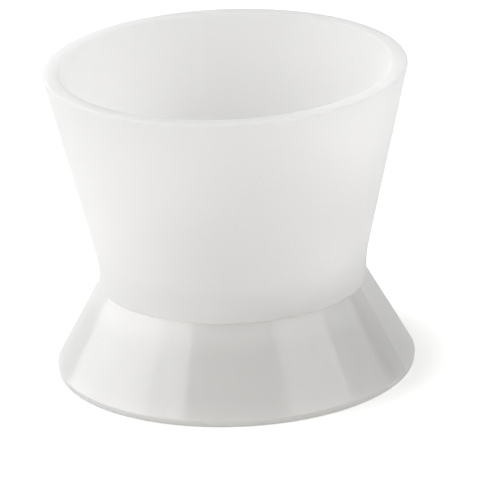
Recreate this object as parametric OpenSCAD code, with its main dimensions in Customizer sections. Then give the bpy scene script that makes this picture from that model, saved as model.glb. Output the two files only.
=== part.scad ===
// Small reusable cup for mixing casting resin, moulded in soft translucent silicone rubber.
// A conical bowl stands on a flared foot that is hollow underneath. Bowl and foot meet at
// the waist, on the plane where the two halves of the mould part: the half that forms the
// bowl is matt, and the half that forms the foot is polished. Millimetres, +Z up, with the
// origin in the middle of the plane that the cup stands on.

/* [Cup] */
// Height of the whole cup
cup_height = 45; // [40:0.5:60]
// Outside diameter of the rim
rim_diameter = 52; // [46:0.5:60]
// Outside diameter of the narrowest ring of the waist
waist_diameter = 38.3; // [30:0.1:42]
// Distance by which the foot's edge stays inside the rim, all round
foot_inset = 0.3; // [0:0.1:3]

/* [Bowl] */
// Thickness of the bowl's wall, measured level across the rim
bowl_wall = 2.4; // [1.6:0.1:3.2]
// Thickness of the bowl's floor above the parting plane
floor_thickness = 1.8; // [1:0.1:3]
// Radius of the round between wall and floor inside the bowl
floor_round = 8; // [3:0.5:12]
// Radius on the two edges of the rim
rim_round = 0.3; // [0.1:0.05:0.8]
// Radius of the hollow sweep that brings the wall upright at the waist
waist_sweep = 19.6; // [10:0.2:28]
// Rise of the narrowest ring of the waist above the parting plane
waist_rise = 0.8; // [0:0.1:2]

/* [Foot] */
// Height of the foot, up to the parting plane
foot_height = 13.1; // [9:0.1:18]
// Thickness of the flared skirt, measured level
foot_wall = 2.7; // [1.8:0.1:3.4]
// Thickness of the roof over the hollow, below the parting plane
foot_roof = 1.2; // [0.8:0.1:2]
// Radius of the round between skirt and roof inside the hollow
hollow_round = 3; // [1:0.5:5]
// Height of the upright edge round the bottom of the foot
edge_height = 1; // [0.6:0.1:2]
// Inward lean of the upright edge, from its top to its bottom
edge_lean = 0.15; // [0:0.05:0.3]
// Radius on the bottom corner of the upright edge
edge_round = 0.3; // [0.1:0.05:0.5]

/* [Hidden] */
$fn = 180;
hair = 0.0001;

rim_radius = rim_diameter / 2;
foot_radius = rim_radius - foot_inset;
bowl_floor = foot_height + floor_thickness;
hollow_top = foot_height - foot_roof;

// Centre of the waist's sweep, in radius and height
sweep_centre = [waist_diameter / 2 + waist_sweep, foot_height + waist_rise];

// The outside of the wall runs straight from the rim and touches the sweep at this point
rim_corner = [rim_radius, cup_height];
to_rim = rim_corner - sweep_centre;
touch_angle = atan2(to_rim.y, to_rim.x) + acos(waist_sweep / norm(to_rim));
touch_point = sweep_centre + waist_sweep * [cos(touch_angle), sin(touch_angle)];
bowl_flare = (rim_corner.x - touch_point.x) / (rim_corner.y - touch_point.y);

// Radius where the sweep crosses the parting plane, which the top of the foot shares
neck_radius = sweep_centre.x - sqrt(pow(waist_sweep, 2) - pow(waist_rise, 2));
foot_flare = (foot_radius - neck_radius) / (foot_height - edge_height);

// Radius of the inside of the bowl and of the hollow in the foot, at a height
function bowl_inside(z) = rim_radius - bowl_wall - bowl_flare * (cup_height - z);
function hollow_inside(z) = neck_radius - foot_wall + foot_flare * (foot_height - z);

// A round touches the two sides of a corner. Three points stand in for the corner in an
// outline: the first touch, the centre and the last touch. A disc at the centre then fills
// or cuts the outline to the round.
function direction(a, b) = (b - a) / norm(b - a);
function half_corner(before, corner, after) =
    acos(direction(corner, before) * direction(corner, after)) / 2;
function round_centre(before, corner, after, radius) =
    corner
    + radius / sin(half_corner(before, corner, after))
    * direction([0, 0], direction(corner, before) + direction(corner, after));
function touch(before, corner, after, side, radius) =
    corner
    + radius / tan(half_corner(before, corner, after)) * direction(corner, side);
function round_points(before, corner, after, radius) = [
    touch(before, corner, after, before, radius),
    round_centre(before, corner, after, radius),
    touch(before, corner, after, after, radius)
];

// The disc of a round, larger by a hair so that it meets the straight sides in one point
module disc(centre, radius) {
    translate(centre) circle(radius + hair);
}

// Half section of the bowl's outside, filled to the axis
module bowl_outline() {
    rim_centre = [0, cup_height];
    edge = round_points(touch_point, rim_corner, rim_centre, rim_round);
    sweep = [[sweep_centre.x, foot_height], sweep_centre, touch_point];
    difference() {
        polygon(concat([[0, foot_height]], sweep, edge, [rim_centre]));
        disc(sweep_centre, waist_sweep);
    }
    disc(edge[1], rim_round);
}

// Half section of the space inside the bowl
module bowl_space() {
    floor_centre = [0, bowl_floor];
    floor_corner = [bowl_inside(bowl_floor), bowl_floor];
    mouth_corner = [bowl_inside(cup_height), cup_height];
    heel = round_points(floor_centre, floor_corner, mouth_corner, floor_round);
    edge = round_points(floor_corner, mouth_corner, rim_corner, rim_round);
    difference() {
        polygon(concat([floor_centre], heel, edge, [[0, cup_height]]));
        disc(edge[1], rim_round);
    }
    disc(heel[1], floor_round);
}

// Half section of the foot's outside, filled to the axis
module foot_outline() {
    base_centre = [0, 0];
    edge_top = [foot_radius, edge_height];
    edge_bottom = [foot_radius - edge_lean, 0];
    edge = round_points(base_centre, edge_bottom, edge_top, edge_round);
    neck = [[neck_radius, foot_height], [0, foot_height]];
    polygon(concat([base_centre], edge, [edge_top], neck));
    disc(edge[1], edge_round);
}

// Half section of the hollow under the foot
module foot_hollow() {
    roof_centre = [0, hollow_top];
    roof_corner = [hollow_inside(hollow_top), hollow_top];
    mouth_corner = [hollow_inside(0), 0];
    shoulder = round_points(mouth_corner, roof_corner, roof_centre, hollow_round);
    polygon(concat([[0, 0], mouth_corner], shoulder, [roof_centre]));
    disc(shoulder[1], hollow_round);
}

module bowl() {
    color("#e9e9e7")
    rotate_extrude()
    difference() {
        bowl_outline();
        bowl_space();
    }
}

module foot() {
    color("#dededb")
    rotate_extrude()
    difference() {
        foot_outline();
        foot_hollow();
    }
}

bowl();
foot();
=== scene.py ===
"""A small silicone cup for mixing casting resin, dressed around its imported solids.

The cup is one soft moulding: a matt conical bowl on a glossy flared foot, split at the
mould's parting line. Everything is in metres, +Z up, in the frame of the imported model.
Lengths that describe the cup are written in millimetres, as a maker gives them, and
turned to metres where a mesh or a node needs them.
"""

import logging
import math
from dataclasses import dataclass
from enum import Enum, IntEnum

import bpy
import numpy as np
from mathutils import Matrix, Vector


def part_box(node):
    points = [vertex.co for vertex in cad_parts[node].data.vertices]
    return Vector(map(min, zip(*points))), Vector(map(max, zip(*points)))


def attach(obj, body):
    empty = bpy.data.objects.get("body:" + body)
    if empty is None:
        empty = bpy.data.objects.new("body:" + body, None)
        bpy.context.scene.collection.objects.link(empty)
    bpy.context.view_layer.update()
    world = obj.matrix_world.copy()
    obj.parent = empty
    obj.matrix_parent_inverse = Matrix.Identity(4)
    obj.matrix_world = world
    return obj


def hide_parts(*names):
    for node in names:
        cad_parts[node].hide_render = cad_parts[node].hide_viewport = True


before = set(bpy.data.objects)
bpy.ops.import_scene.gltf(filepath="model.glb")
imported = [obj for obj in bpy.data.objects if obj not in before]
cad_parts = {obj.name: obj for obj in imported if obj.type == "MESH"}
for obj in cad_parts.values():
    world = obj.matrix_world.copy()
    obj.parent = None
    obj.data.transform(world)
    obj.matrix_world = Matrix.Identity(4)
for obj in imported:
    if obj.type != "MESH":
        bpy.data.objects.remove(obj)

LOG = logging.getLogger("cup")

MM = 0.001
BODY = "root"
WHITE = (1.0, 1.0, 1.0, 1.0)

# Two points of a profile that are closer than this many millimetres are one point
SAME_POINT_MM = 1e-6


class Zone(Enum):
    """The surfaces that the mould leaves on the rubber."""

    BLASTED = "blasted"
    SATIN = "satin"
    POLISHED = "polished"


class Side(IntEnum):
    """The material slots of a skin, by the side of the rubber that they dress."""

    OUTER = 0
    INNER = 1


def linear_from_hex(colour: str) -> tuple[float, float, float, float]:
    """Turn an sRGB hex colour into the linear colour that Blender's sockets take.

    Below 0.04045 the curve is a straight line, and above it a power of 2.4.

    Args:
        colour: Six hex digits after a hash sign.

    Returns:
        Red, green, blue and an alpha of one, all linear.
    """
    channels = [int(colour[i : i + 2], 16) / 255 for i in (1, 3, 5)]
    red, green, blue = (
        c / 12.92 if c <= 0.04045 else ((c + 0.055) / 1.055) ** 2.4 for c in channels
    )
    return red, green, blue, 1.0


def add_node(
    tree: bpy.types.NodeTree,
    kind: str,
    settings: dict | None = None,
    inputs: dict | None = None,
) -> bpy.types.Node:
    """Add one node with its settings and its inputs.

    Args:
        tree: The tree that gets the node.
        kind: The node's type name.
        settings: Attributes of the node, by name.
        inputs: Socket name or index to a value, or to the socket that feeds it.

    Returns:
        The new node.
    """
    node = tree.nodes.new(kind)
    for name, value in (settings or {}).items():
        setattr(node, name, value)
    for name, value in (inputs or {}).items():
        if isinstance(value, bpy.types.NodeSocket):
            tree.links.new(value, node.inputs[name])
        else:
            node.inputs[name].default_value = value
    return node


def empty_material(name: str) -> bpy.types.Material:
    """Make a material with an empty node tree.

    Args:
        name: Name of the material.

    Returns:
        The new material.
    """
    made = bpy.data.materials.new(name)
    made.use_nodes = True
    made.node_tree.nodes.clear()
    return made


def seen_directly(tree: bpy.types.NodeTree) -> bpy.types.NodeSocket:
    """Tell the rays that show a background from those that carry light to the cup.

    Args:
        tree: The tree that gets the nodes.

    Returns:
        A socket that is one for camera, glossy and transmission rays, and else zero.
    """
    path = add_node(tree, "ShaderNodeLightPath")
    seen = path.outputs["Is Camera Ray"]
    for other in ("Is Glossy Ray", "Is Transmission Ray"):
        node = add_node(
            tree,
            "ShaderNodeMath",
            settings={"operation": "MAXIMUM"},
            inputs={0: seen, 1: path.outputs[other]},
        )
        seen = node.outputs[0]
    return seen


def straight(start: tuple[float, float], end: tuple[float, float], count: int) -> np.ndarray:
    """Points along a straight line, closer together towards both ends.

    The share of the way is half of one minus the cosine of a half turn's steps, so the
    shading at the ends isn't pulled about by a long face.

    Args:
        start: First point, in radius and height.
        end: Last point.
        count: How many points, both ends among them.

    Returns:
        An array of count rows and two columns.
    """
    share = (1 - np.cos(np.linspace(0, np.pi, count))) / 2
    return np.asarray(start) + share[:, None] * (np.asarray(end) - np.asarray(start))


def arc(
    centre: tuple[float, float], radius: float, start: float, end: float, count: int
) -> np.ndarray:
    """Points on an arc: the centre plus the radius times cosine and sine of the angle.

    Args:
        centre: Centre, in radius and height.
        radius: Radius of the arc.
        start: First angle in radians, from the outward direction towards up.
        end: Last angle.
        count: How many points, both ends among them.

    Returns:
        An array of count rows and two columns.
    """
    angle = np.linspace(start, end, count)
    return np.asarray(centre) + radius * np.stack([np.cos(angle), np.sin(angle)], axis=1)


def rounded_corner(
    before: tuple[float, float],
    corner: tuple[float, float],
    after: tuple[float, float],
    radius: float,
    count: int,
) -> np.ndarray:
    """Points on the round that touches both sides of a corner.

    The centre lies on the line that halves the corner, at the radius over the sine of
    half the corner's angle, and the arc runs the short way between the two touches.

    Args:
        before: A point on the side that comes in.
        corner: The sharp corner.
        after: A point on the side that goes out.
        radius: Radius of the round.
        count: How many points.

    Returns:
        An array of count rows and two columns, from the first touch to the last.
    """
    tip = np.asarray(corner, float)
    back = (np.asarray(before) - tip) / np.linalg.norm(np.asarray(before) - tip)
    ahead = (np.asarray(after) - tip) / np.linalg.norm(np.asarray(after) - tip)
    half = math.acos(float(back @ ahead)) / 2
    halving = (back + ahead) / np.linalg.norm(back + ahead)
    centre = tip + halving * radius / math.sin(half)
    touches = [tip + side * radius / math.tan(half) - centre for side in (back, ahead)]
    start, end = (math.atan2(t[1], t[0]) for t in touches)
    turn = (end - start + math.pi) % (2 * math.pi) - math.pi
    return arc(tuple(centre), radius, start, start + turn, count)


def chained(stretches: list[tuple[Side, np.ndarray]]) -> tuple[np.ndarray, np.ndarray]:
    """Join stretches end to end and drop each point that repeats the one before it.

    Args:
        stretches: A material slot and an array of points for each stretch, in order.

    Returns:
        One array of points, and the slot of each step from a point to the next.
    """
    line = np.concatenate([points for _, points in stretches])
    slots = np.concatenate([np.full(len(points), int(side)) for side, points in stretches])
    step = np.linalg.norm(np.diff(line, axis=0), axis=1)
    kept = np.concatenate([[True], step > SAME_POINT_MM])
    return line[kept], slots[kept][1:]


def revolved(
    name: str, profile: np.ndarray, slots: np.ndarray, segments: int
) -> bpy.types.Object:
    """Turn a closed half section round the Z axis into a mesh object.

    A point is radius times cosine of the turn, radius times sine of the turn, and
    height, for every profile point and every step of the turn. The first and last
    profile points lie on the axis, and each becomes one vertex at a pole.

    Args:
        name: Name of the object.
        profile: Radius and height in millimetres, in the order that keeps the rubber
            on the left, from pole to pole.
        slots: Material slot of each step of the profile.
        segments: Steps in a full turn.

    Returns:
        The new object, at the origin, linked to the scene.
    """
    turn = np.arange(segments) * 2 * np.pi / segments
    radius, height = profile[1:-1, 0], profile[1:-1, 1]
    ring = np.stack(
        [
            radius[:, None] * np.cos(turn),
            radius[:, None] * np.sin(turn),
            np.broadcast_to(height[:, None], (len(height), segments)),
        ],
        axis=-1,
    )
    poles = [[[0.0, 0.0, profile[0, 1]]], [[0.0, 0.0, profile[-1, 1]]]]
    points = np.concatenate([ring.reshape(-1, 3), *poles])
    step = np.arange(segments)
    ahead = (step + 1) % segments
    row = np.arange(len(radius) - 1)[:, None] * segments
    quads = np.stack(
        [row + step, row + ahead, row + segments + ahead, row + segments + step], axis=-1
    )
    last = (len(radius) - 1) * segments
    first_pole, last_pole = len(points) - 2, len(points) - 1
    first_fan = np.stack([ahead, step, np.full(segments, first_pole)], axis=-1)
    last_fan = np.stack([last + step, last + ahead, np.full(segments, last_pole)], axis=-1)
    faces = quads.reshape(-1, 4).tolist() + first_fan.tolist() + last_fan.tolist()
    mesh = bpy.data.meshes.new(name)
    mesh.from_pydata((points * MM).tolist(), [], faces)
    mesh.polygons.foreach_set("use_smooth", np.ones(len(faces), bool))
    dressed = [np.repeat(slots[1:-1], segments), *np.repeat(slots[[0, -1], None], segments, 1)]
    mesh.polygons.foreach_set("material_index", np.concatenate(dressed).astype(np.int32))
    mesh.update()
    piece = bpy.data.objects.new(name, mesh)
    bpy.context.scene.collection.objects.link(piece)
    return piece


@dataclass(frozen=True)
class Silicone:
    """Translucent white silicone rubber, as one surface of the mould leaves it.

    The rubber is milky and clear enough that light travels through a thin wall, so the
    cup glows where it is lit from behind. The mould gives the surface its gloss and its
    grain, and a few specks of dust are caught in the rubber. At a grazing look the gloss
    turns soft, because the real surface isn't flat enough there to mirror.
    Lengths are in millimetres.
    """

    name: str
    colour: str
    roughness: float
    grain: float
    relief: float
    specular: float
    scatter: float = 16.0
    seam_reach: float = 4.0
    seam_power: float = 1.0
    table_return: float = 0.6
    refraction: float = 1.41
    grain_detail: float = 2.0
    grain_roughness: float = 0.6
    grazing_roughness: float = 0.8
    grazing_from: float = 0.5
    grazing_to: float = 0.8
    mote: str = "#F6F4F0"
    mote_spacing: float = 3.6
    mote_radius: float = 0.18

    def grained(
        self, tree: bpy.types.NodeTree, place: bpy.types.NodeSocket
    ) -> bpy.types.NodeSocket:
        """Raise the grain that the mould leaves, as bump from a noise.

        Args:
            tree: The material's tree.
            place: Object coordinates.

        Returns:
            The bumped normal.
        """
        grain = add_node(
            tree,
            "ShaderNodeTexNoise",
            inputs={
                "Vector": place,
                "Scale": 1 / (self.grain * MM),
                "Detail": self.grain_detail,
                "Roughness": self.grain_roughness,
            },
        )
        bump = add_node(
            tree,
            "ShaderNodeBump",
            inputs={
                "Strength": 1.0,
                "Distance": self.relief * MM,
                "Height": grain.outputs["Fac"],
            },
        )
        return bump.outputs["Normal"]

    def scatter_depth(
        self, tree: bpy.types.NodeTree, place: bpy.types.NodeSocket, parting_height: float
    ) -> bpy.types.NodeSocket:
        """Work out how far light goes in the rubber between scatterings.

        Light in the model can't pass from one piece to the next, though the real rubber
        runs through, and it can't come back from the table. So the depth shrinks towards
        the parting plane and towards the table, and the rubber there stays as bright as
        the rest. The depth is the full one times a power of the share that the distance
        to the nearer of the two has in the reach. The table counts as lying a little
        lower than it does, so that the depth doesn't vanish there.

        Args:
            tree: The material's tree.
            place: Object coordinates.
            parting_height: Height of the parting plane, in metres.

        Returns:
            The depth, in metres.
        """
        height = add_node(tree, "ShaderNodeSeparateXYZ", inputs={0: place})
        above = add_node(
            tree,
            "ShaderNodeMath",
            settings={"operation": "SUBTRACT"},
            inputs={0: height.outputs["Z"], 1: parting_height},
        )
        from_seam = add_node(
            tree,
            "ShaderNodeMath",
            settings={"operation": "ABSOLUTE"},
            inputs={0: above.outputs[0]},
        )
        from_table = add_node(
            tree,
            "ShaderNodeMath",
            settings={"operation": "ADD"},
            inputs={0: height.outputs["Z"], 1: self.table_return * MM},
        )
        nearest = add_node(
            tree,
            "ShaderNodeMath",
            settings={"operation": "MINIMUM"},
            inputs={0: from_seam.outputs[0], 1: from_table.outputs[0]},
        )
        share = add_node(
            tree,
            "ShaderNodeMapRange",
            inputs={"Value": nearest.outputs[0], "From Max": self.seam_reach * MM},
        )
        curve = add_node(
            tree,
            "ShaderNodeMath",
            settings={"operation": "POWER"},
            inputs={0: share.outputs["Result"], 1: self.seam_power},
        )
        depth = add_node(
            tree,
            "ShaderNodeMath",
            settings={"operation": "MULTIPLY"},
            inputs={0: curve.outputs[0], 1: self.scatter * MM},
        )
        return depth.outputs[0]

    def specked(
        self, tree: bpy.types.NodeTree, place: bpy.types.NodeSocket
    ) -> bpy.types.NodeSocket:
        """Colour the rubber and the motes in it.

        A mote lies round each point of a Voronoi pattern. Most points are inside the wall
        or in the air, so only a few motes show.

        Args:
            tree: The material's tree.
            place: Object coordinates.

        Returns:
            The colour.
        """
        motes = add_node(
            tree,
            "ShaderNodeTexVoronoi",
            inputs={"Vector": place, "Scale": 1 / (self.mote_spacing * MM)},
        )
        reach = self.mote_radius / self.mote_spacing
        clear = add_node(
            tree,
            "ShaderNodeMapRange",
            inputs={
                "Value": motes.outputs["Distance"],
                "From Min": reach / 2,
                "From Max": reach,
            },
        )
        # A mix node set to colours takes them at its sockets 6 and 7
        colour = add_node(
            tree,
            "ShaderNodeMix",
            settings={"data_type": "RGBA"},
            inputs={
                0: clear.outputs["Result"],
                6: linear_from_hex(self.mote),
                7: linear_from_hex(self.colour),
            },
        )
        return colour.outputs[2]

    def glossed(
        self, tree: bpy.types.NodeTree, normal: bpy.types.NodeSocket
    ) -> bpy.types.NodeSocket:
        """Turn the gloss soft where the surface is seen at a grazing angle.

        Args:
            tree: The material's tree.
            normal: The bumped normal.

        Returns:
            The roughness.
        """
        slant = add_node(
            tree, "ShaderNodeLayerWeight", inputs={"Blend": 0.5, "Normal": normal}
        )
        gloss = add_node(
            tree,
            "ShaderNodeMapRange",
            inputs={
                "Value": slant.outputs["Facing"],
                "From Min": self.grazing_from,
                "From Max": self.grazing_to,
                "To Min": self.roughness,
                "To Max": self.grazing_roughness,
            },
        )
        return gloss.outputs["Result"]

    def material(self, parting_height: float) -> bpy.types.Material:
        """Build the material, with every pattern on Object coordinates.

        Args:
            parting_height: Height of the parting plane, in metres.

        Returns:
            The material.
        """
        made = empty_material(self.name)
        tree = made.node_tree
        place = add_node(tree, "ShaderNodeTexCoord").outputs["Object"]
        normal = self.grained(tree, place)
        surface = add_node(
            tree,
            "ShaderNodeBsdfPrincipled",
            settings={"subsurface_method": "RANDOM_WALK"},
            inputs={
                "Base Color": self.specked(tree, place),
                "Roughness": self.glossed(tree, normal),
                "IOR": self.refraction,
                "Specular IOR Level": self.specular,
                "Subsurface Weight": 1.0,
                "Subsurface Radius": (1.0, 1.0, 1.0),
                "Subsurface Scale": self.scatter_depth(tree, place, parting_height),
                "Normal": normal,
            },
        )
        add_node(
            tree, "ShaderNodeOutputMaterial", inputs={"Surface": surface.outputs["BSDF"]}
        )
        return made


FINISHES = {
    # Blasting left the mould with a grain of about 0.1 mm, which makes the outside of the
    # bowl even and matt, with no highlight. The grain is too fine to show, so it is drawn
    # at 0.35 mm
    Zone.BLASTED: Silicone(
        name="silicone rubber moulded blasted",
        colour="#FDFBF7",
        roughness=0.6,
        grain=0.35,
        relief=0.012,
        specular=0.2,
    ),
    # The core was only rubbed down, so the inside has a faint, soft sheen. Its marks are
    # finer than 0.1 mm and are drawn at 0.6 mm
    Zone.SATIN: Silicone(
        name="silicone rubber moulded satin",
        colour="#FCFBFA",
        roughness=0.40,
        grain=0.60,
        relief=0.006,
        specular=0.15,
        seam_reach=12.0,
    ),
    # The half of the mould that forms the foot is polished, so the foot mirrors each
    # softbox as an upright band with soft edges. A slight waviness, 4 mm long, stirs them
    Zone.POLISHED: Silicone(
        name="silicone rubber moulded polished",
        colour="#FDFBF4",
        roughness=0.13,
        grain=4.0,
        relief=0.004,
        specular=0.7,
        seam_power=0.5,
    ),
}


@dataclass
class Bowl:
    """The conical bowl: wall, flat rim, rounded heel and floor.

    Sizes are in millimetres. The seam gap keeps the underside clear of the foot's top.
    The fields that end in points say how many points each stretch of the profile has.
    """

    wall: float = 2.4
    waist_sweep: float = 19.6
    waist_rise: float = 0.8
    waist_radius: float = 19.15
    rim_radius: float = 26.0
    rim_round: float = 0.3
    floor_round: float = 8.0
    floor_thickness: float = 1.8
    seam_gap: float = 0.004
    segments: int = 360
    underside_points: int = 14
    sweep_points: int = 40
    outside_points: int = 40
    edge_points: int = 9
    rim_points: int = 8
    inside_points: int = 36
    heel_points: int = 33
    floor_points: int = 12

    def profile(self) -> tuple[np.ndarray, np.ndarray]:
        """Work out the half section, from the underside's middle to the floor's middle.

        Returns:
            Radius and height in millimetres, and the material slot of each step.
        """
        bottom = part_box("bowl")[0].z / MM
        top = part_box("bowl")[1].z / MM
        sweep = np.array([self.waist_radius + self.waist_sweep, bottom + self.waist_rise])
        rim = np.array([self.rim_radius, top])
        away = rim - sweep
        touch = math.atan2(away[1], away[0]) + math.acos(self.waist_sweep / math.hypot(*away))
        start = math.pi + math.asin((self.waist_rise - self.seam_gap) / self.waist_sweep)
        waist = arc(tuple(sweep), self.waist_sweep, start, touch, self.sweep_points)
        waist_bottom, waist_top = tuple(waist[0]), tuple(waist[-1])
        flare = (rim[0] - waist_top[0]) / (rim[1] - waist_top[1])
        floor = bottom + self.floor_thickness
        mouth = (self.rim_radius - self.wall, top)
        heel = (mouth[0] - flare * (top - floor), floor)
        outer_edge = rounded_corner(
            waist_top, tuple(rim), mouth, self.rim_round, self.edge_points
        )
        inner_edge = rounded_corner(tuple(rim), mouth, heel, self.rim_round, self.edge_points)
        heel_round = rounded_corner(
            mouth, heel, (0, floor), self.floor_round, self.heel_points
        )
        underside = straight((0, waist_bottom[1]), waist_bottom, self.underside_points)
        outside = straight(waist_top, tuple(outer_edge[0]), self.outside_points)
        rim_top = straight(tuple(outer_edge[-1]), tuple(inner_edge[0]), self.rim_points)
        inside = straight(tuple(inner_edge[-1]), tuple(heel_round[0]), self.inside_points)
        floor_top = straight(tuple(heel_round[-1]), (0, floor), self.floor_points)
        outer = [underside, waist, outside, outer_edge, rim_top, inner_edge]
        inner = [inside, heel_round, floor_top]
        return chained([(Side.OUTER, s) for s in outer] + [(Side.INNER, s) for s in inner])

    def build(self, looks: dict[Zone, bpy.types.Material]) -> bpy.types.Object:
        """Make the bowl's skin and dress it.

        Args:
            looks: The material of each surface.

        Returns:
            The finished piece.
        """
        piece = revolved("bowl_skin", *self.profile(), self.segments)
        piece.data.materials.append(looks[Zone.BLASTED])
        piece.data.materials.append(looks[Zone.SATIN])
        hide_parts("bowl")
        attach(piece, BODY)
        return piece


@dataclass
class Foot:
    """The flared foot: skirt, upright edge and the roof over the hollow.

    Sizes are in millimetres. The witness is the fine ring that stands proud at the
    parting line, and the seam gap keeps the top clear of the bowl's underside.
    The fields that end in points say how many points each stretch of the profile has.
    """

    wall: float = 2.7
    roof: float = 1.2
    hollow_round: float = 3.0
    edge_height: float = 1.0
    edge_lean: float = 0.15
    edge_round: float = 0.3
    crest_round: float = 0.12
    neck_radius: float = 19.166
    foot_radius: float = 25.7
    witness: float = 0.05
    seam_gap: float = 0.004
    segments: int = 360
    roof_points: int = 12
    shoulder_points: int = 21
    hollow_points: int = 20
    ring_points: int = 8
    edge_points: int = 9
    crest_points: int = 7
    skirt_points: int = 30
    top_points: int = 14

    def profile(self) -> tuple[np.ndarray, np.ndarray]:
        """Work out the half section, from the hollow's roof to the top's middle.

        Returns:
            Radius and height in millimetres, and the material slot of each step.
        """
        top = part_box("foot")[1].z / MM
        flare = (self.foot_radius - self.neck_radius) / (top - self.edge_height)
        inside = self.neck_radius - self.wall
        roof = top - self.roof
        mouth = (inside + flare * top, 0.0)
        shoulder = (inside + flare * self.roof, roof)
        edge_bottom = (self.foot_radius - self.edge_lean, 0.0)
        crest = (self.foot_radius, self.edge_height)
        neck = (self.neck_radius + self.witness, top - self.seam_gap)
        shoulder_round = rounded_corner(
            (0, roof), shoulder, mouth, self.hollow_round, self.shoulder_points
        )
        foot_round = rounded_corner(
            mouth, edge_bottom, crest, self.edge_round, self.edge_points
        )
        crest_round = rounded_corner(
            edge_bottom, crest, neck, self.crest_round, self.crest_points
        )
        neck_round = rounded_corner(
            crest, neck, (0, neck[1]), self.witness, self.crest_points
        )
        stretches = [
            straight((0, roof), tuple(shoulder_round[0]), self.roof_points),
            shoulder_round,
            straight(tuple(shoulder_round[-1]), mouth, self.hollow_points),
            straight(mouth, tuple(foot_round[0]), self.ring_points),
            foot_round,
            straight(tuple(foot_round[-1]), tuple(crest_round[0]), self.ring_points),
            crest_round,
            straight(tuple(crest_round[-1]), tuple(neck_round[0]), self.skirt_points),
            neck_round,
            straight(tuple(neck_round[-1]), (0, neck[1]), self.top_points),
        ]
        return chained([(Side.OUTER, stretch) for stretch in stretches])

    def build(self, looks: dict[Zone, bpy.types.Material]) -> bpy.types.Object:
        """Make the foot's skin and dress it.

        Args:
            looks: The material of each surface.

        Returns:
            The finished piece.
        """
        piece = revolved("foot_skin", *self.profile(), self.segments)
        piece.data.materials.append(looks[Zone.POLISHED])
        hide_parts("foot")
        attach(piece, BODY)
        return piece


@dataclass(frozen=True)
class Softbox:
    """A soft rectangular lamp that faces the cup from far off.

    Azimuth is in degrees round Z, 0 towards the camera and positive to its right.
    Elevation is in degrees above the floor. Each has its two edges, as the cup sees them.
    A radiance of 1 is as bright as the white background, and the distance is in metres.
    """

    name: str
    azimuth: tuple[float, float]
    elevation: tuple[float, float]
    radiance: float
    tint: str = "#FFFFFF"
    distance: float = 3.0

    def stance(self) -> tuple[Matrix, float, float]:
        """Work out where the lamp stands.

        The centre lies halfway between the edges, and the lamp faces the cup. Half its
        width is the distance times the tangent of half the azimuth's span, shortened by
        the cosine of the elevation, and half its height is the same with the elevation.

        Returns:
            The lamp's place, its width and its height, in metres.
        """
        around = math.radians(sum(self.azimuth) / 2)
        above = math.radians(sum(self.elevation) / 2)
        width = math.radians(self.azimuth[1] - self.azimuth[0]) / 2
        height = math.radians(self.elevation[1] - self.elevation[0]) / 2
        turn = Matrix.Rotation(around, 4, "Z") @ Matrix.Rotation(math.pi / 2 - above, 4, "X")
        place = turn @ Matrix.Translation((0, 0, self.distance))
        wide = 2 * self.distance * math.tan(width) * math.cos(above)
        return place, wide, 2 * self.distance * math.tan(height)

    def lamp(self) -> bpy.types.Object:
        """Make the lamp.

        An area lamp's radiance is its power over its area and over pi.

        Returns:
            The lamp, which the camera doesn't see.
        """
        place, wide, high = self.stance()
        data = bpy.data.lights.new(self.name, "AREA")
        data.shape = "RECTANGLE"
        data.size, data.size_y = wide, high
        data.energy = self.radiance * math.pi * wide * high
        data.color = linear_from_hex(self.tint)[:3]
        lamp = bpy.data.objects.new(self.name, data)
        lamp.matrix_world = place
        lamp.visible_camera = False
        bpy.context.scene.collection.objects.link(lamp)
        return lamp


# The four lamps at the left stand in a rising row, and the foot mirrors them as one band
SOFTBOXES = (
    Softbox("left rear softbox lower", (-133, -112.5), (0, 16), 2.2),
    Softbox("left rear softbox upper", (-113.5, -92), (8, 24), 3.3),
    Softbox("left front softbox rear", (-92.5, -66), (14, 32), 3.8),
    Softbox("left front softbox", (-66.5, -38), (22, 38), 2.6),
    Softbox("left high rear softbox", (-150, -105), (42, 66), 1.0),
    Softbox("left high softbox", (-105, -60), (40, 66), 4.5),
    Softbox("back softbox", (-180, -150), (10, 30), 3.5),
    Softbox("right softbox", (35, 80), (20, 36), 1.65),
    Softbox("right rear softbox", (80, 110), (26, 46), 7.4),
    Softbox("front reflector", (-38, 35), (0, 28), 1.5, tint="#FFFCF6"),
)


@dataclass(frozen=True)
class Flag:
    """A black card or net that the polished foot mirrors as a dark streak.

    Its edges are given as a softbox's are. A card covers the white behind it fully,
    and a net covers a share of it.
    """

    name: str
    azimuth: tuple[float, float]
    elevation: tuple[float, float]
    cover: float = 1.0
    cloth: str = "#161616"
    distance: float = 2.8

    def felt(self) -> bpy.types.Material:
        """Make black felt, with holes where it covers only a share.

        Returns:
            The material.
        """
        made = empty_material("black felt")
        tree = made.node_tree
        pile = add_node(
            tree, "ShaderNodeBsdfDiffuse", inputs={"Color": linear_from_hex(self.cloth)}
        )
        holes = add_node(tree, "ShaderNodeBsdfTransparent")
        weave = add_node(
            tree,
            "ShaderNodeMixShader",
            inputs={"Fac": self.cover, 1: holes.outputs[0], 2: pile.outputs[0]},
        )
        add_node(tree, "ShaderNodeOutputMaterial", inputs={"Surface": weave.outputs[0]})
        return made

    def card(self) -> bpy.types.Object:
        """Make the card, square to the line from the cup.

        Its corners are a softbox's corners at the same directions.

        Returns:
            The card, which the camera doesn't see.
        """
        box = Softbox(self.name, self.azimuth, self.elevation, 0.0, distance=self.distance)
        place, wide, high = box.stance()
        sides = ((-1, -1), (1, -1), (1, 1), (-1, 1))
        corners = [place @ Vector((x * wide / 2, y * high / 2, 0)) for x, y in sides]
        mesh = bpy.data.meshes.new(self.name)
        mesh.from_pydata([tuple(c) for c in corners], [], [(0, 1, 2, 3)])
        mesh.materials.append(self.felt())
        card = bpy.data.objects.new(self.name.replace(" ", "_"), mesh)
        card.visible_camera = False
        bpy.context.scene.collection.objects.link(card)
        return card


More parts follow.
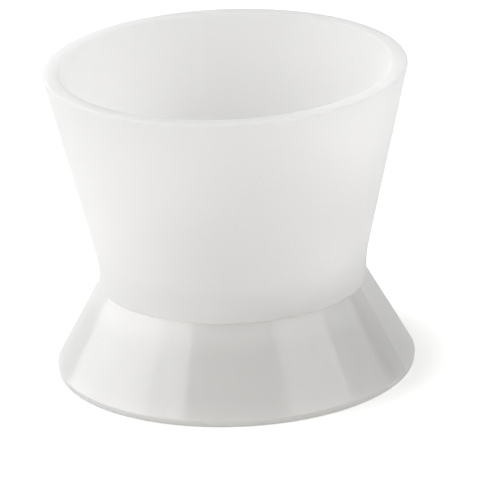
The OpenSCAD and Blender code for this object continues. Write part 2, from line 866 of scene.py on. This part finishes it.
FLAGS = (
    Flag("right flag", (111, 120), (-2, 22)),
    Flag("right rear net", (120, 165), (-1, 24), cover=0.6),
    Flag("left rear flag", (-149, -134), (-1, 24)),
)


@dataclass
class Studio:
    """The pale floor, the softboxes, the white surroundings and the camera.

    The eye's place is in millimetres, its angles are in degrees, and the floor's sizes
    are in metres. The floor lies a hair below the cup, so that no two faces coincide.
    The sheet is the floor as it carries light to the cup, and the shade is the floor as
    it is seen: its glow rises to white between the two distances of the shadow, in
    millimetres from the cup's axis.
    """

    eye_back: float = 792.9
    eye_height: float = 310.2
    pitch: float = 20.197
    yaw: float = 0.084
    roll: float = -2.285
    lens: float = 442.95
    sensor: float = 36.0
    clip: tuple[float, float] = (0.05, 20.0)
    floor_half: float = 2.5
    floor_drop: float = 0.00001
    sheet: str = "#F0F0F0"
    sheet_glow: float = 0.064
    shade: str = "#BCBCBC"
    shade_glow: float = 0.58
    shadow_mm: tuple[float, float] = (27.0, 38.0)

    def camera(self) -> bpy.types.Object:
        """Place the camera by its height, its distance and its three angles.

        Returns:
            The camera, set as the scene's.
        """
        data = bpy.data.cameras.new("camera")
        data.lens = self.lens
        data.sensor_width = self.sensor
        data.clip_start, data.clip_end = self.clip
        eye = bpy.data.objects.new("camera", data)
        bpy.context.scene.collection.objects.link(eye)
        turn = (
            Matrix.Rotation(-math.radians(self.yaw), 4, "Z")
            @ Matrix.Rotation(math.pi / 2 - math.radians(self.pitch), 4, "X")
            @ Matrix.Rotation(math.radians(self.roll), 4, "Z")
        )
        place = Matrix.Translation((0, -self.eye_back * MM, self.eye_height * MM))
        eye.matrix_world = place @ turn
        bpy.context.scene.camera = eye
        return eye

    def shadow_fading_glow(self, tree: bpy.types.NodeTree) -> bpy.types.NodeSocket:
        """Let the seen floor's glow rise to white with the distance from the cup.

        Args:
            tree: The floor's tree.

        Returns:
            The glow.
        """
        place = add_node(tree, "ShaderNodeTexCoord")
        out = add_node(
            tree,
            "ShaderNodeVectorMath",
            settings={"operation": "LENGTH"},
            inputs={0: place.outputs["Object"]},
        )
        # Painted light: the seen floor glows least next to the cup and rises to white farther
        # out, so the cup's shadow fades away with distance
        glow_ramp = add_node(
            tree,
            "ShaderNodeMapRange",
            inputs={
                "Value": out.outputs["Value"],
                "From Min": self.shadow_mm[0] * MM,
                "From Max": self.shadow_mm[1] * MM,
                "To Min": self.shade_glow,
                "To Max": 1.0,
            },
        )
        return glow_ramp.outputs["Result"]

    def paper(self) -> bpy.types.Material:
        """Make the floor's matt paper.

        It is white around the cup and keeps the cup's shadow. From below it is clear to
        the camera, so that the hollow of the foot can be seen, but it still stops light.

        Returns:
            The material.
        """
        made = empty_material("paper floor matt")
        tree = made.node_tree
        branches = []
        for colour, glow in ((self.sheet, self.sheet_glow), (self.shade, self.shadow_fading_glow(tree))):
            lit = add_node(
                tree, "ShaderNodeBsdfDiffuse", inputs={"Color": linear_from_hex(colour)}
            )
            glowing = add_node(
                tree, "ShaderNodeEmission", inputs={"Color": WHITE, "Strength": glow}
            )
            both = add_node(
                tree,
                "ShaderNodeAddShader",
                inputs={0: lit.outputs["BSDF"], 1: glowing.outputs["Emission"]},
            )
            branches.append(both.outputs[0])
        mixed = add_node(
            tree,
            "ShaderNodeMixShader",
            inputs={"Fac": seen_directly(tree), 1: branches[0], 2: branches[1]},
        )
        side = add_node(tree, "ShaderNodeNewGeometry")
        path = add_node(tree, "ShaderNodeLightPath")
        below = add_node(
            tree,
            "ShaderNodeMath",
            settings={"operation": "MULTIPLY"},
            inputs={0: side.outputs["Backfacing"], 1: path.outputs["Is Camera Ray"]},
        )
        clear = add_node(tree, "ShaderNodeBsdfTransparent")
        surface = add_node(
            tree,
            "ShaderNodeMixShader",
            inputs={"Fac": below.outputs[0], 1: mixed.outputs[0], 2: clear.outputs[0]},
        )
        add_node(tree, "ShaderNodeOutputMaterial", inputs={"Surface": surface.outputs[0]})
        return made

    def floor(self) -> bpy.types.Object:
        """Lay the pale floor under the cup.

        Returns:
            The floor.
        """
        half, low = self.floor_half, -self.floor_drop
        sides = ((-half, -half), (half, -half), (half, half), (-half, half))
        mesh = bpy.data.meshes.new("floor")
        mesh.from_pydata([(x, y, low) for x, y in sides], [], [(0, 1, 2, 3)])
        mesh.materials.append(self.paper())
        piece = bpy.data.objects.new("floor", mesh)
        bpy.context.scene.collection.objects.link(piece)
        return piece

    def surroundings(self) -> bpy.types.World:
        """Show white to the camera, to gloss and to glass, and light nothing.

        Returns:
            The scene's world.
        """
        world = bpy.data.worlds.new("studio surroundings")
        bpy.context.scene.world = world
        world.use_nodes = True
        tree = world.node_tree
        tree.nodes.clear()
        white = add_node(
            tree,
            "ShaderNodeBackground",
            inputs={"Color": WHITE, "Strength": seen_directly(tree)},
        )
        add_node(tree, "ShaderNodeOutputWorld", inputs={"Surface": white.outputs[0]})
        return world

    def light(self) -> None:
        """Set up every softbox and every flag."""
        for box in SOFTBOXES:
            box.lamp()
        for flag in FLAGS:
            flag.card()


def main() -> None:
    """Build the cup and its studio in order, and report each piece."""
    logging.basicConfig(level=logging.INFO, format="%(name)s: %(message)s")
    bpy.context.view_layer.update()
    bpy.context.scene.view_settings.view_transform = "Standard"
    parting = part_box("foot")[1].z
    looks = {zone: finish.material(parting) for zone, finish in FINISHES.items()}
    for part in (Bowl(), Foot()):
        piece = part.build(looks)
        LOG.info("%s: %d faces", piece.name, len(piece.data.polygons))
    studio = Studio()
    for thing in (studio.camera(), studio.floor(), studio.surroundings()):
        LOG.info("%s: ready", thing.name)
    studio.light()
    LOG.info("softboxes: %d, flags: %d", len(SOFTBOXES), len(FLAGS))


if __name__ == "__main__":
    main()
